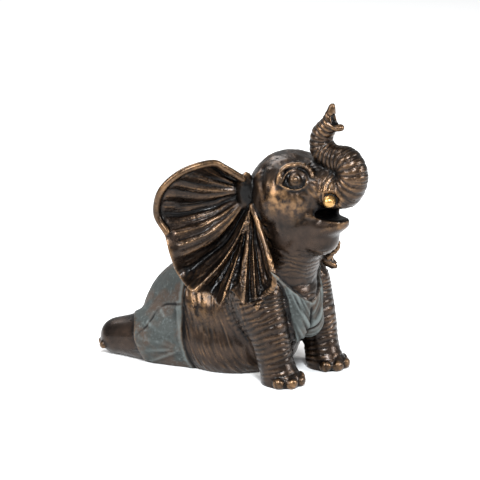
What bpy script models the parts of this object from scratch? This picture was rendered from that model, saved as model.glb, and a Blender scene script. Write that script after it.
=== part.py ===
"""Cast elephant figurine in top and trousers, chest raised on straight forelegs, hind legs stretched out.

The casting is one solid. +Z is up, the elephant faces -Y, and its own right side is at -X.
Its pose, proportions and carving are stated in 141sts of its height, measured from the table and
from the middle between the two front feet. The finished casting is centred over the origin.
"""

import math

import bmesh
import bpy
import numpy as np
from mathutils import Matrix, Vector

HEIGHT = 0.141  # table to the tip of the trunk
SHARE = HEIGHT / 141.0

EAR_THICKNESS = 0.0027
CLOTH_RISE = 0.0011  # top and trousers stand this proud of the skin
TUSK_RADIUS = 0.0031
EYE_RADIUS = 0.0036
TRUNK_RING_PITCH = 0.0046
TRUNK_RING_DEPTH = 0.00042

FUSE_CELL = 0.0069 * HEIGHT
FINISHED_TRIANGLES = 9300

EYE = (-13.4, -3.9, 103.6)
TUSK = (-11, -22.6, 95.3)
EAR_ROOT = (17.5, 20, 95)

TORSO = [  # x, y, z, half width, half depth of each station
    (0, 85, 19, 22, 12.5),
    (0, 75, 26, 26, 18.7),
    (0, 60, 29, 30, 26.3),
    (0, 44, 28, 31, 28),
    (0, 29, 34, 27, 24),
    (0, 20, 46, 22, 19),
    (0, 13, 60, 18, 17.5),
    (0, 8, 74, 18, 18),
    (0, 9, 86, 15, 15),
]
FORELEG = [
    (-15.5, 19, 51, 10, 13),
    (-18.5, 17, 41, 11.5, 16),
    (-19, 9.5, 27, 10, 11.2),
    (-18.3, 5, 13, 8.8, 9.2),
    (-17.6, 2.5, 4, 9.2, 9.4),
    (-17.6, 1.5, -4, 9.4, 9.6),
]
HIND_LEG = [
    (-15, 58, 15, 20, 22),
    (-21, 69, 13, 18.5, 18.5),
    (-25.5, 79, 10.5, 15, 15),
    (-29, 87, 9.6, 12, 12),
    (-31.5, 95, 9, 10, 10),
]
TRUNK = [
    (0, -2, 99, 15, 13),
    (0, -12, 99.5, 11.5, 10.5),
    (0, -22.3, 98.6, 9.2, 9.4),
    (0, -28.4, 106, 7.6, 7.6),
    (0, -25, 113.4, 7.1, 7.1),
    (0, -16.8, 114, 6.4, 6.4),
    (0, -9.8, 117, 6.2, 6.2),
    (0, -9.2, 123.5, 5.6, 5.6),
    (0, -11.8, 127.8, 5, 5),
    (0, -14, 131, 4.4, 3.8),
]
EAR = [  # at the rim: out, up and forward of the root; then how proud the rib stands, and how far it bows
    (4.5, 6.4, 2, 0, 0),
    (13.7, 12.6, 5, -1.5, 1),
    (20.8, 16.2, 7, -1, 2),
    (35.5, 13, 8, 1, 3),
    (46, 3.4, 5, 2.2, 4),
    (48.4, -9.5, 6, -2, 5),
    (43.6, -18.6, 4, 1.8, 6),
    (41, -29, 7, 2.2, 7),
    (36.8, -41, 7, -3, 7.5),
    (31, -46.3, 11, 3, 7),
    (25, -48.5, 11, -0.5, 5),
    (20.8, -50, 13, -2.6, 4),
    (17.4, -52, 17, 3, 2.6),
    (11.8, -46.5, 16.5, -2, 1.5),
    (6.6, -51, 20, 2.6, 0.5),
    (3, -52, 19, -1, 0),
    (-0.6, -55, 20, 1.4, -0.5),
    (-4.4, -50.5, 18, -1, -1),
    (-9.3, -42, 21, 1.6, -1.5),
    (-6.2, -27.2, 13, 1, -1),
    (0.4, -7, 3, 0, 0),
]

BROW = [
    (-18, 2.5, 101.8),
    (-16.3, 2.7, 104.8),
    (-13.7, 2.3, 107.3),
    (-11, 0.8, 108.8),
    (-8.5, -2.6, 109.3),
    (-8.3, -6.2, 108.4),
    (-8.8, -9.7, 106.8),
]
UPPER_LID = [(-18.2, 0.6, 100.6), (-16.6, 0.6, 105), (-13.2, -1.2, 107.2), (-11, -5, 106.6), (-11.6, -9, 102)]
EYE_BAG = [(-19.2, 0.8, 98.4), (-17.6, -3.2, 96.8), (-14.6, -7, 97), (-12, -9.6, 99.6)]
TUSK_FOLD = [(-12.2, -13, 95.5), (-9.6, -18, 98.6), (-7.6, -23, 99.4), (-6.6, -26, 96), (-7, -24, 91.6)]
LIP = [(-12.4, -10, 86.2), (-8.4, -14.5, 84.6), (-5.9, -19, 83.6), (-2.6, -23.6, 83), (0, -25, 83)]
SIDE_SEAM = [
    (-38.4, 79.2, 12.1),
    (-36.7, 70.9, 20.3),
    (-32.9, 68.9, 27.1),
    (-29.8, 64.9, 30.6),
    (-30.3, 54, 33),
]
NECKLINE = [(-21.4, 55.9), (-6.9, 42.4), (-1.4, 38.4), (3.6, 36.4), (12, 35.4)]  # aside and above in SLANT
ARM_EDGE = [(14, -5.2), (21.4, -5.9), (28.4, -7.9), (37.4, -9.4), (44.4, -12.4), (50.4, -17.4), (62, -24)]
SLANT = ((0.643, -0.766, 0), (0.211, 0.177, 0.961))  # square to a look from the right front
KNEE_FOLDS = [(-34, 54, 12), (-36, 66, 18), (-36, 68, 11), (-34, 64, 5)]  # where folds meet, then their ends


def place(x, y, z):
    """A point of the figure, stated in shares of its height."""
    return Vector((x, y, z)) * SHARE


def mirrored(stations, side):
    """Stations of a right limb, or of its twin on the left."""
    return [(-side * row[0], *row[1:]) for row in stations]


def smooth_path(points, steps):
    """Rows of numbers joined by a Catmull-Rom curve, with steps spans between each two."""
    rows = [np.array(p, float) for p in points]
    rows = [2 * rows[0] - rows[1]] + rows + [2 * rows[-1] - rows[-2]]
    found = []
    for a, b, c, d in zip(rows, rows[1:], rows[2:], rows[3:]):
        for step in range(steps):
            t = step / steps
            bend = (2 * a - 5 * b + 4 * c - d) * t**2 + (3 * b - a - 3 * c + d) * t**3
            found.append(0.5 * (2 * b + (c - a) * t + bend))
    found.append(rows[-2])
    return found


def merge(form, piece):
    """Adds one finished shape to the form."""
    mesh = bpy.data.meshes.new("shape")
    piece.to_mesh(mesh)
    piece.free()
    form.append(mesh)


def loft(form, stations, sides=28, steps=5):
    """Adds a round form through stations of (x, y, z, half width, half depth), with domed ends."""
    tube = bmesh.new()
    rows = smooth_path(stations, steps)
    ends = []
    for first, second in ((rows[0], rows[1]), (rows[-1], rows[-2])):
        away = (first[:3] - second[:3]) / np.linalg.norm(first[:3] - second[:3])
        dome = []
        for k in (1, 2, 3):
            turn = k * math.pi / 8
            reach = away * min(first[3], first[4]) * math.sin(turn) * 0.8
            dome.append(np.concatenate([first[:3] + reach, first[3:] * math.cos(turn)]))
        ends.append(dome)
    rows = ends[0][::-1] + rows + ends[1]
    loops = []
    for k, row in enumerate(rows):
        ahead = Vector(rows[min(k + 1, len(rows) - 1)][:3] - rows[max(k - 1, 0)][:3]).normalized()
        side = (Vector((1, 0, 0)) - ahead * ahead.x).normalized()
        axes = Matrix((side * row[3], ahead.cross(side) * row[4], ahead)).transposed().to_4x4()
        seat = Matrix.Translation(place(*row[:3])) @ axes
        made = bmesh.ops.create_circle(tube, cap_ends=False, segments=sides, radius=SHARE, matrix=seat)
        loops.append(made["verts"])
    for low, high in zip(loops, loops[1:]):
        both = set(low) | set(high)
        edges = {e for v in both for e in v.link_edges if e.other_vert(v) in both}
        rings = [e for e in edges if (e.verts[0] in low) == (e.verts[1] in low)]
        bmesh.ops.bridge_loops(tube, edges=rings)
    for loop in (loops[0], loops[-1]):
        bmesh.ops.contextual_create(tube, geom=loop)
    merge(form, tube)


def ball(form, centre, radii, turn=(0, 0, 0)):
    """Adds an ellipsoid; turn is in degrees about X, Y and Z."""
    turned = Matrix.Rotation(math.radians(turn[2]), 4, "Z")
    turned = turned @ Matrix.Rotation(math.radians(turn[1]), 4, "Y")
    turned = turned @ Matrix.Rotation(math.radians(turn[0]), 4, "X")
    seat = Matrix.Translation(place(*centre)) @ turned @ Matrix.Diagonal((*radii, 1))
    round_form = bmesh.new()
    bmesh.ops.create_uvsphere(round_form, u_segments=32, v_segments=20, radius=SHARE, matrix=seat)
    merge(form, round_form)


def add_body(form):
    """Rump, belly, raised chest and neck in one run, the round belly, the bust and a short tail."""
    loft(form, TORSO, sides=36)
    ball(form, (0, 44, 13), (33, 32, 24))
    ball(form, (0, 11, 40), (17, 15.5, 14))
    for side in (-1, 1):
        ball(form, (side * 6, 4.8, 28), (6.9, 9.6, 10.5))
    loft(form, [(0, 84, 34, 3, 3), (0, 92, 27, 2.4, 2.4), (0, 97, 17, 2, 2), (0, 99, 8, 2.2, 2.2)], sides=12)


def add_legs(form, side):
    """A straight foreleg with its toenails, and a hind leg laid out behind the rump."""
    loft(form, mirrored(FORELEG, side))
    ball(form, (side * 17.6, -0.6, 2.5), (9.5, 9.7, 7))
    for turn in (-62, -20, 25, 69):
        swing = math.radians(turn)
        seat = (side * (17.6 + 8.9 * math.sin(swing)), -0.6 - 9.1 * math.cos(swing), 2.6)
        ball(form, seat, (3, 2, 2.8), turn=(0, 0, side * turn))
    loft(form, mirrored(HIND_LEG, side))
    ball(form, (side * 32, 96.5, 8.4), (10, 9.6, 10.2))
    for turn in (-48, 0, 48):
        swing = math.radians(turn)
        seat = (side * (32 + 8.6 * math.sin(swing + 0.4)), 96.5 + 8.6 * math.cos(swing + 0.4), 5)
        ball(form, seat, (2.4, 1.9, 2.2), turn=(0, 0, -side * (turn + 23)))


def add_head(form):
    """Cranium, cheeks, chin and lower jaw, with the eyes and the tusk stubs."""
    ball(form, (0, 9, 91.6), (22, 22.5, 22))
    ball(form, (0, 2, 80), (18.5, 18, 18))
    ball(form, (0, -8, 73), (10.5, 10, 9.5))
    jaw = [(0, 2, 80, 15, 13), (0, -11, 79.5, 11, 8), (0, -18, 80.6, 7.8, 5), (0, -22.5, 81.8, 5.2, 2.8)]
    loft(form, jaw)
    eye, tusk = EYE_RADIUS / SHARE, TUSK_RADIUS / SHARE
    for side in (-1, 1):
        ball(form, (-side * EYE[0] - side * 0.9, EYE[1] + 0.6, EYE[2] - 0.7), (eye, eye, eye))
        ball(form, (-side * TUSK[0], TUSK[1], TUSK[2]), (tusk, tusk, tusk))


def add_trunk(form):
    """The trunk: out from the face, curled back over itself to the brow, then up to two fingers."""
    loft(form, TRUNK, sides=24, steps=6)
    loft(form, [(0, -12.6, 130.5, 3.8, 3.4), (0, -14.4, 135.5, 3, 2.4), (0, -15.4, 139.7, 1.9, 1.7)])
    loft(form, [(0, -13.4, 129.2, 3.6, 3), (0, -18, 129.2, 2.9, 2.2), (0, -21.2, 129.4, 2.3, 1.9)])


def ear_place(side, spread, tilt, size, rib, share):
    """A point of an ear's sheet; share runs along the rib from the root, 0, to the rim, 1."""
    out, up, forward, crest, bow = rib
    across = np.array([-up, out]) / np.hypot(out, up)
    flat = np.array([out, up]) * share - across * bow * 4 * share * (1 - share)
    height = forward * share**2 - (30 + 0.5 * min(up, 0)) * share * (1 - share) ** 1.5
    height += crest * 1.25 * math.sin(math.pi * share**0.8 * 0.62)
    lean, angle = math.radians(tilt), math.radians(spread)
    out = (flat[0] * math.cos(lean) + flat[1] * math.sin(lean)) * size
    up = (flat[1] * math.cos(lean) - flat[0] * math.sin(lean)) * size
    height *= size
    x = side * (EAR_ROOT[0] + math.cos(angle) * out + math.sin(angle) * height)
    y = EAR_ROOT[1] + math.sin(angle) * out - math.cos(angle) * height
    return (x, y, EAR_ROOT[2] + up)


def add_ear(form, side, spread, tilt, size):
    """One fan-shaped ear: ribs from the root to a scalloped rim that is rolled at the top and the front."""
    ribs = smooth_path(EAR, 6)
    columns, rows = len(ribs) - 1, 26
    sheet = bmesh.new()
    bmesh.ops.create_grid(sheet, x_segments=columns, y_segments=rows, size=0.5)
    for vert in sheet.verts:
        rib = ribs[round((vert.co.x + 0.5) * columns)]
        share = min(0.08 + 0.92 * (vert.co.y + 0.5), 1.0)
        vert.co = place(*ear_place(side, spread, tilt, size, rib, share))
    back = bmesh.ops.extrude_face_region(sheet, geom=sheet.faces[:])["geom"]
    back = [item for item in back if isinstance(item, bmesh.types.BMVert)]
    angle = math.radians(spread)
    behind = Vector((-side * math.sin(angle), math.cos(angle), 0)) * EAR_THICKNESS
    bmesh.ops.translate(sheet, verts=back, vec=behind)
    bmesh.ops.recalc_face_normals(sheet, faces=sheet.faces)
    merge(form, sheet)
    wall = EAR_THICKNESS / SHARE
    top = [(*ear_place(side, spread, tilt, size, rib, 0.97), wall * 0.8, wall * 0.8) for rib in EAR[:7]]
    front = [(*ear_place(side, spread, tilt, size, rib, 0.97), wall * 0.6, wall * 0.6) for rib in EAR[16:]]
    loft(form, top, sides=12, steps=4)
    loft(form, front, sides=12, steps=4)
    ball(form, (side * EAR_ROOT[0], EAR_ROOT[1] + 4, EAR_ROOT[2] - 1), (4.5, 5, 9.5))


def cavities():
    """The open mouth and the opening of the trunk's tip, as one mesh to cut away."""
    hollow = []
    ball(hollow, (0, -20, 87.6), (10.5, 16, 3.7), turn=(-6, 0, 0))
    ball(hollow, (0, -17.4, 132.9), (2, 2.4, 3.4), turn=(-20, 0, 0))
    return joined(hollow, "cavities")


def joined(shapes, name):
    """The shapes as one mesh of overlapping bodies."""
    whole = bmesh.new()
    for shape in shapes:
        whole.from_mesh(shape)
        bpy.data.meshes.remove(shape)
    mesh = bpy.data.meshes.new(name)
    whole.to_mesh(mesh)
    whole.free()
    return mesh


def fused(form, cutter):
    """The overlapping forms made one closed skin, with the cavities cut out of it."""
    rough = bpy.data.objects.new("forms", joined(form, "forms"))
    bpy.context.scene.collection.objects.link(rough)
    for name in ("Fuse", "Fuse again"):
        remesh = rough.modifiers.new(name, "REMESH")
        remesh.mode = "VOXEL"
        remesh.voxel_size = FUSE_CELL
        if name == "Fuse":
            cut = rough.modifiers.new("Cavities", "BOOLEAN")
            cut.object = cutter
    soften = rough.modifiers.new("Soften", "SMOOTH")
    soften.factor = 0.5
    soften.iterations = 3
    skin = bpy.data.meshes.new_from_object(rough.evaluated_get(bpy.context.evaluated_depsgraph_get()))
    bpy.data.objects.remove(rough)
    return skin


def rounded(value):
    """Eases 0 to 1 for values from 0 to 1."""
    value = np.clip(value, 0, 1)
    return value * value * (3 - 2 * value)


def line_distance(points, path, steps=4):
    """Distance from each point to a smooth path."""
    rows = np.array(smooth_path(path, steps))
    nearest = np.full(len(points), 1e9)
    for a, b in zip(rows, rows[1:]):
        along = np.clip(((points - a) @ (b - a)) / ((b - a) @ (b - a)), 0, 1)
        gap = np.linalg.norm(points - a - along[:, None] * (b - a), axis=1)
        nearest = np.minimum(nearest, gap)
    return nearest


def limb_share(points, stations):
    """How far out each point lies from a limb's core, 1 on its skin, and its way along the limb."""
    rows = np.array(smooth_path(stations, 6))
    lengths = np.concatenate([[0], np.cumsum(np.linalg.norm(np.diff(rows[:, :3], axis=0), axis=1))])
    out = np.full(len(points), 1e9)
    way = np.zeros(len(points))
    for row, length in zip(rows, lengths):
        share = np.linalg.norm(points - row[:3], axis=1) / max(row[3], row[4])
        way = np.where(share < out, length, way)
        out = np.minimum(out, share)
    return out, way


def groove(points, path, width, depth):
    """Depth of a round-bottomed groove along a path; a negative depth raises a ridge."""
    return -depth * np.exp(-((line_distance(points, path) / width) ** 2))


def clothes(points):
    """How much of the cloth's rise each point has: 1 on the trousers and the top, 0 on bare skin."""
    x, y, z = points.T
    aside, above = points @ SLANT[0], points @ SLANT[1]
    hem = 92 + 0.85 * (x + 24) - 0.6 * np.clip(12 - z, 0, 12) - y
    trousers = rounded((y - 48 - 0.17 * z) / 1.1) * rounded(hem / 1.1) * rounded((56 - z) / 2)
    neck = np.interp(aside, *np.array(NECKLINE).T) - above
    arm = aside - np.interp(above, *np.array(ARM_EDGE).T)
    bottom = np.minimum(z - 14, 26 - y)
    return np.maximum(trousers, rounded(neck / 1.1) * rounded(arm / 1.1) * rounded(bottom / 1.1))


def carve(skin):
    """Moves the skin in and out along its normals for the face, the clothes and the trunk's rings."""
    points = np.empty(len(skin.vertices) * 3, np.float32)
    skin.vertices.foreach_get("co", points)
    points = points.reshape(-1, 3).astype(float) / SHARE
    normals = np.empty(len(skin.vertices) * 3, np.float32)
    skin.vertex_normals.foreach_get("vector", normals)
    normals = normals.reshape(-1, 3).astype(float)
    near = points * (-1, 1, 1)
    near[points[:, 0] < 0] = points[points[:, 0] < 0]

    from_eye = np.linalg.norm(near - EYE, axis=1)
    from_tusk = np.linalg.norm(near - TUSK, axis=1)
    eye, tusk = EYE_RADIUS / SHARE, TUSK_RADIUS / SHARE
    move = -1.3 * np.exp(-(((from_eye - eye - 1.5) / 1.3) ** 2))
    move -= 0.9 * np.exp(-(((from_tusk - tusk - 1) / 0.9) ** 2))
    move += groove(near, BROW, 1.7, -1.1)
    move += groove(near, UPPER_LID, 0.9, -0.9)
    move += groove(near, EYE_BAG, 1.2, -0.7)
    move += groove(near, TUSK_FOLD, 1.6, -0.6)
    move += groove(near, LIP, 1.2, -0.7)
    move += groove(near, SIDE_SEAM, 1, 0.5)
    for end in KNEE_FOLDS[1:]:
        move += groove(near, [KNEE_FOLDS[0], end], 1.6, -0.6)
    move += clothes(near) * CLOTH_RISE / SHARE
    out, way = limb_share(points, TRUNK)
    rings = np.sin(2 * math.pi * way * SHARE / TRUNK_RING_PITCH)
    move += rings * TRUNK_RING_DEPTH / SHARE * (out < 1.25) * rounded((way - 12) / 8)

    points += normals * move[:, None]
    skin.vertices.foreach_set("co", (points * SHARE).astype(np.float32).ravel())
    skin.update()


def finished(skin, name):
    """The carved skin brought down to its faces, cut flat where it stands, and centred over the origin."""
    figure = bpy.data.objects.new(name, skin)
    bpy.context.scene.collection.objects.link(figure)
    thin = figure.modifiers.new("Thin out", "DECIMATE")
    thin.ratio = FINISHED_TRIANGLES / (2 * len(skin.polygons))
    cast = bpy.data.meshes.new_from_object(figure.evaluated_get(bpy.context.evaluated_depsgraph_get()))
    bpy.data.objects.remove(figure)
    body = bmesh.new()
    body.from_mesh(cast)
    everything = body.verts[:] + body.edges[:] + body.faces[:]
    up = (0, 0, 1)
    cut = bmesh.ops.bisect_plane(body, geom=everything, plane_co=(0, 0, 0), plane_no=up, clear_inner=True)
    rims = [item for item in cut["geom_cut"] if isinstance(item, bmesh.types.BMEdge)]
    bmesh.ops.holes_fill(body, edges=rims)
    bmesh.ops.triangulate(body, faces=body.faces[:])
    corners = np.array([vert.co for vert in body.verts])
    low, high = corners.min(axis=0), corners.max(axis=0)
    print("middle and size in shares:", ((low + high) / 2 / SHARE).round(2), ((high - low) / SHARE).round(2))
    bmesh.ops.translate(body, verts=body.verts, vec=(-(low[0] + high[0]) / 2, -(low[1] + high[1]) / 2, 0))
    body.to_mesh(cast)
    body.free()
    return cast


def bronze(name, colour, roughness, metallic):
    """A bronze-coloured cast finish."""
    finish = bpy.data.materials.new(name)
    finish.use_nodes = True
    surface = finish.node_tree.nodes["Principled BSDF"]
    surface.inputs["Base Color"].default_value = (*colour, 1)
    surface.inputs["Roughness"].default_value = roughness
    surface.inputs["Metallic"].default_value = metallic
    return finish


def main():
    for existing in list(bpy.data.objects):
        bpy.data.objects.remove(existing)
    collection = bpy.data.collections.new("Elephant figurine")
    bpy.context.scene.collection.children.link(collection)
    form = []
    add_body(form)
    for side in (-1, 1):
        add_legs(form, side)
    add_head(form)
    add_trunk(form)
    add_ear(form, -1, spread=45, tilt=0, size=1.0)
    add_ear(form, 1, spread=45, tilt=20, size=0.85)
    cutter = bpy.data.objects.new("cavities", cavities())
    cutter.hide_render = True
    cutter.display_type = "WIRE"
    bpy.context.scene.collection.objects.link(cutter)
    skin = fused(form, cutter)
    bpy.data.objects.remove(cutter)
    carve(skin)
    cast = finished(skin, "elephant_figurine")
    cast.shade_smooth()
    cast.set_sharp_from_angle(angle=math.radians(60))
    cast.materials.clear()
    cast.materials.append(bronze("rubbed bronze", (0.115, 0.075, 0.05), 0.42, 0.75))
    collection.objects.link(bpy.data.objects.new("elephant_figurine", cast))


main()
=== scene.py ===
"""Looks of the cast elephant figurine: the fine casting, its bronze finish, the floor, lights and camera.

The casting is modelled again from the same stations as the solid, at a finer cell, and carries the
wrinkles, ear ribs, eyelids and cloth folds. Stations are in millimetres from the table and from the
middle between the two front feet; the finished mesh is then set into the solid's box.
"""

import logging
import math
from collections.abc import Callable
from dataclasses import dataclass, field
from enum import Enum

import bmesh
import bpy
import numpy as np
from mathutils import Matrix, Vector
from mathutils.kdtree import KDTree


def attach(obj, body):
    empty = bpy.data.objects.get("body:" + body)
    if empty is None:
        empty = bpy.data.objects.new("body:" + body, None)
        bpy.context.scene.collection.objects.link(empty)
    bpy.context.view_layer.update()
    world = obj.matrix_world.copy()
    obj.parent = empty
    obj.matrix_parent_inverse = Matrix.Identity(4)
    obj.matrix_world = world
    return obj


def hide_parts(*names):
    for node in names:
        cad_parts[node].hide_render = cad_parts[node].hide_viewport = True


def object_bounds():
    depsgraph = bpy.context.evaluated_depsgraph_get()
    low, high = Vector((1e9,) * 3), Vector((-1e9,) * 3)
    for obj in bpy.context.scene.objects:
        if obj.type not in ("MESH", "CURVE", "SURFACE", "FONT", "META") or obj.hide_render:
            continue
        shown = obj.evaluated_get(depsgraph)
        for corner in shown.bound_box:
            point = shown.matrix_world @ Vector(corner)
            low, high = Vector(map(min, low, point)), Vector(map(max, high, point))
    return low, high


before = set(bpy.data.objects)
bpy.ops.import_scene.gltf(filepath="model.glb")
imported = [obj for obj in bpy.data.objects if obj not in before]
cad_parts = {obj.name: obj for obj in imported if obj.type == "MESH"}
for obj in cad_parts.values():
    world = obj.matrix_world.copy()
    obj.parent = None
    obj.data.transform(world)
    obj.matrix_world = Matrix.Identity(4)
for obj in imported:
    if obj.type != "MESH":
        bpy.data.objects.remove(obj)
CAD_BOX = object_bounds()

logging.basicConfig(level=logging.INFO, format="%(message)s")
LOG = logging.getLogger("figurine")

MM = 0.001
NODE = "elephant_figurine"
BODY = "root"

Row = tuple[float, ...]
Path = list[Row]
Ball = tuple[Row, Row]


class Side(Enum):
    """The elephant's own sides, by the sign of X."""

    RIGHT = -1
    LEFT = 1


class Mask(Enum):
    """Float attributes that the casting carries for its finish."""

    CLOTH = "cloth"
    CREST = "crest"
    # The hollow mask is dark patina in the recesses and painted shade: creases, the mouth's inside and the
    # place under the ear's root are darkened where shade falls.
    PATINA_AND_SHADE = "hollow"
    GOLD = "gold"
    RUB = "rub"


class Join(Enum):
    """Ways to join two values of a finish."""

    SUM = "ADD"
    PRODUCT = "MULTIPLY"


# Limbs on the elephant's right side: rows of x, y, z, half width and half depth.
TORSO: Path = [
    (0, 85, 19, 22, 12.5),
    (0, 75, 26, 26, 18.7),
    (0, 60, 29, 30, 26.3),
    (0, 44, 28, 31, 28),
    (0, 29, 34, 27, 24),
    (0, 20, 46, 22, 19),
    (0, 13, 60, 18, 17.5),
    (0, 8, 74, 18, 18),
    (0, 9, 86, 15, 15),
]
FORELEG: Path = [
    (-15.5, 19, 51, 10, 13),
    (-18.5, 17, 41, 11.5, 16),
    (-19, 9.5, 27, 10, 11.2),
    (-18.3, 5, 13, 8.8, 9.2),
    (-17.6, 2.5, 4, 9.2, 9.4),
    (-17.6, 1.5, -4, 9.4, 9.6),
]
HIND_LEG: Path = [
    (-15, 58, 15, 20, 22),
    (-21, 69, 13, 18.5, 18.5),
    (-25.5, 79, 10.5, 15, 15),
    (-29, 87, 9.6, 12, 12),
    (-31.5, 95, 9, 10, 10),
]
TRUNK: Path = [
    (0, -2, 99, 15, 13),
    (0, -12, 99.5, 11.5, 10.5),
    (0, -22.3, 98.6, 9.2, 9.4),
    (0, -28.4, 106, 7.6, 7.6),
    (0, -25, 113.4, 7.1, 7.1),
    (0, -16.8, 114, 6.4, 6.4),
    (0, -9.8, 117, 6.2, 6.2),
    (0, -9.2, 123.5, 5.6, 5.6),
    (0, -11.8, 127.8, 5, 5),
    (0, -14, 131, 4.4, 3.8),
]
TAIL: Path = [
    (0, 84, 34, 3, 3),
    (0, 92, 27, 2.4, 2.4),
    (0, 97, 17, 2, 2),
    (0, 99, 8, 2.2, 2.2),
]
JAW: Path = [
    (0, 2, 80, 15, 13),
    (0, -11, 79.5, 11, 8),
    (0, -18, 80.6, 7.8, 5),
    (0, -22.5, 81.8, 5.2, 2.8),
]
UPPER_FINGER: Path = [
    (0, -12.6, 130.5, 3.8, 3.4),
    (0, -14.4, 135.5, 3, 2.4),
    (0, -15.4, 139.7, 1.9, 1.7),
]
LOWER_FINGER: Path = [
    (0, -13.4, 129.2, 3.6, 3),
    (0, -18, 129.2, 2.9, 2.2),
    (0, -21.2, 129.4, 2.3, 1.9),
]
# Ribs of the ear from its root: out, up and forward to a point of the rim, then crest and bow.
EAR_RIBS: Path = [
    (4.5, 6.4, 2, 0, 0),
    (13.7, 12.6, 5, -1.5, 1),
    (20.8, 16.2, 7, -1, 2),
    (35.5, 13, 8, 1, 3),
    (46, 3.4, 5, 2.2, 4),
    (48.4, -9.5, 6, -2, 5),
    (43.6, -18.6, 4, 1.8, 6),
    (41, -29, 7, 2.2, 7),
    (36.8, -41, 7, -3, 7.5),
    (31, -46.3, 11, 3, 7),
    (25, -48.5, 11, -0.5, 5),
    (20.8, -50, 13, -2.6, 4),
    (17.4, -52, 17, 3, 2.6),
    (11.8, -46.5, 16.5, -2, 1.5),
    (6.6, -51, 20, 2.6, 0.5),
    (3, -52, 19, -1, 0),
    (-0.6, -55, 20, 1.4, -0.5),
    (-4.4, -50.5, 18, -1, -1),
    (-9.3, -42, 21, 1.6, -1.5),
    (-6.2, -27.2, 13, 1, -1),
    (0.4, -7, 3, 0, 0),
]
# Curves over the skin of the right side: rows of x, y and z.
BROW: Path = [
    (-18.2, 2.6, 101.8),
    (-17.2, 2.8, 105),
    (-14.8, 3, 107.8),
    (-12.2, 1.6, 109.3),
    (-9.8, -1.6, 109.8),
    (-8.6, -4.8, 109.8),
    (-8.4, -8.6, 108.4),
    (-9.4, -11.4, 105.8),
]
UPPER_LID: Path = [
    (-19, 1.2, 101),
    (-17, 0.4, 104.4),
    (-14.2, -0.2, 106.8),
    (-11.8, -2.4, 107.6),
    (-10.8, -5.2, 107),
    (-11, -8, 104.6),
    (-12, -9.4, 101.8),
]
LOWER_LID: Path = [
    (-19, 1.2, 101),
    (-17.6, -2, 99.8),
    (-15.6, -5, 99.4),
    (-13.4, -7.8, 99.9),
    (-12, -9.4, 101.8),
]
UPPER_BAG: Path = [(-19, -0.6, 99.4), (-17.4, -3.4, 98.2), (-15.2, -6, 98), (-13, -8.8, 99)]
LOWER_BAG: Path = [(-19, -1.4, 98), (-18, -4, 96.6), (-15.8, -7, 96.4), (-13.2, -9.6, 97.8)]
TUSK_FOLD: Path = [
    (-12.2, -13, 95.5),
    (-10.4, -18, 99),
    (-8.6, -23.6, 99.8),
    (-7.4, -27.2, 96.6),
    (-7.4, -25.5, 91.6),
]
LIP: Path = [(-12.4, -10, 86.2), (-8.4, -14.5, 84.6), (-5.9, -19, 83.6), (-2.6, -23.6, 83), (0, -25, 83)]
SIDE_SEAM: Path = [
    (-38.4, 79.2, 12.1),
    (-36.7, 70.9, 20.3),
    (-32.9, 68.9, 27.1),
    (-29.8, 64.9, 30.6),
    (-30.3, 54, 33),
]
TEMPLE: Path = [(-14.8, 15.8, 106.5), (-18.6, 14, 102.5), (-20.8, 11.4, 98), (-21.2, 9.9, 94)]
KNEE_FOLDS: list[Path] = [
    [(-34, 54, 12), (-36, 62, 17), (-36.5, 71, 21)],
    [(-34, 54, 11.5), (-37, 64, 13.5), (-38, 75, 13)],
    [(-34, 54, 11), (-37, 64, 9.5), (-37.5, 74, 7)],
    [(-34, 54, 10.5), (-36, 62, 6), (-35.5, 70, 2.6)],
    [(-34, 54, 13), (-33.5, 60, 22), (-32, 66, 27)],
    [(-33, 53, 15), (-32, 55, 24), (-30, 57, 33)],
]
BUST_VALLEY: Path = [(0, -2, 38), (0, -2.5, 30), (0, 0, 22), (0, 3, 17)]
# The directions aside and above, square to a look from the right front.
SLANT = ((0.643, -0.766, 0.0), (0.211, 0.177, 0.961))
# Edges of the top along SLANT: the neckline's rows are aside and above, the arm's above and aside.
NECKLINE: Path = [(-21.4, 55.9), (-6.9, 42.4), (-1.4, 38.4), (3.6, 36.4), (12, 35.4)]
ARM_EDGE: Path = [
    (14, -5.2),
    (21.4, -5.9),
    (28.4, -7.9),
    (37.4, -9.4),
    (44.4, -12.4),
    (50.4, -17.4),
    (62, -24),
]
# Round masses on the right side: middle and radii.
RUMP: Ball = ((0, 44, 13), (33, 32, 24))
CHEST: Ball = ((0, 11, 40), (17, 15.5, 14))
BREAST: Ball = ((-6, 4.8, 28), (6.9, 9.6, 10.5))
FOREFOOT: Ball = ((-17.6, -0.6, 2.5), (9.5, 9.7, 7))
HIND_FOOT: Ball = ((-32, 96.5, 8.4), (10, 9.6, 10.2))
CRANIUM: Ball = ((0, 9, 91.6), (22, 22.5, 22))
CHEEKS: Ball = ((0, 2, 80), (18.5, 18, 18))
THROAT: Ball = ((0, -8, 73), (10.5, 10, 9.5))
MOUTH: Ball = ((0, -20, 87.2), (10.5, 16, 3.2))
TIP_HOLE: Ball = ((0, -17.4, 132.9), (2, 2.4, 3.4))
EYE = (-13.4, -3.9, 103.6)
EYE_RADIUS = 3.7
EYEBALL = (-12.5, -3.3, 102.9)
IRIS = (-16, -6, 104.6)
TUSK = (-11, -22.6, 95.3)
TUSK_RADIUS = 3.1
EAR_ROOT = (17.5, 20.0, 95.0)
EAR_THICKNESS = 2.7
DOME_RINGS = 3
DOME_HEIGHT = 0.8
# Round grooves of the face: middle, radius, half width and depth.
FACE_RINGS = (
    (EYE, EYE_RADIUS + 0.9, 0.6, 0.55),
    (IRIS, 2.1, 0.35, 0.35),
    (IRIS, 0.9, 0.3, 0.3),
    (TUSK, TUSK_RADIUS + 0.8, 0.6, 0.9),
)
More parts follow.
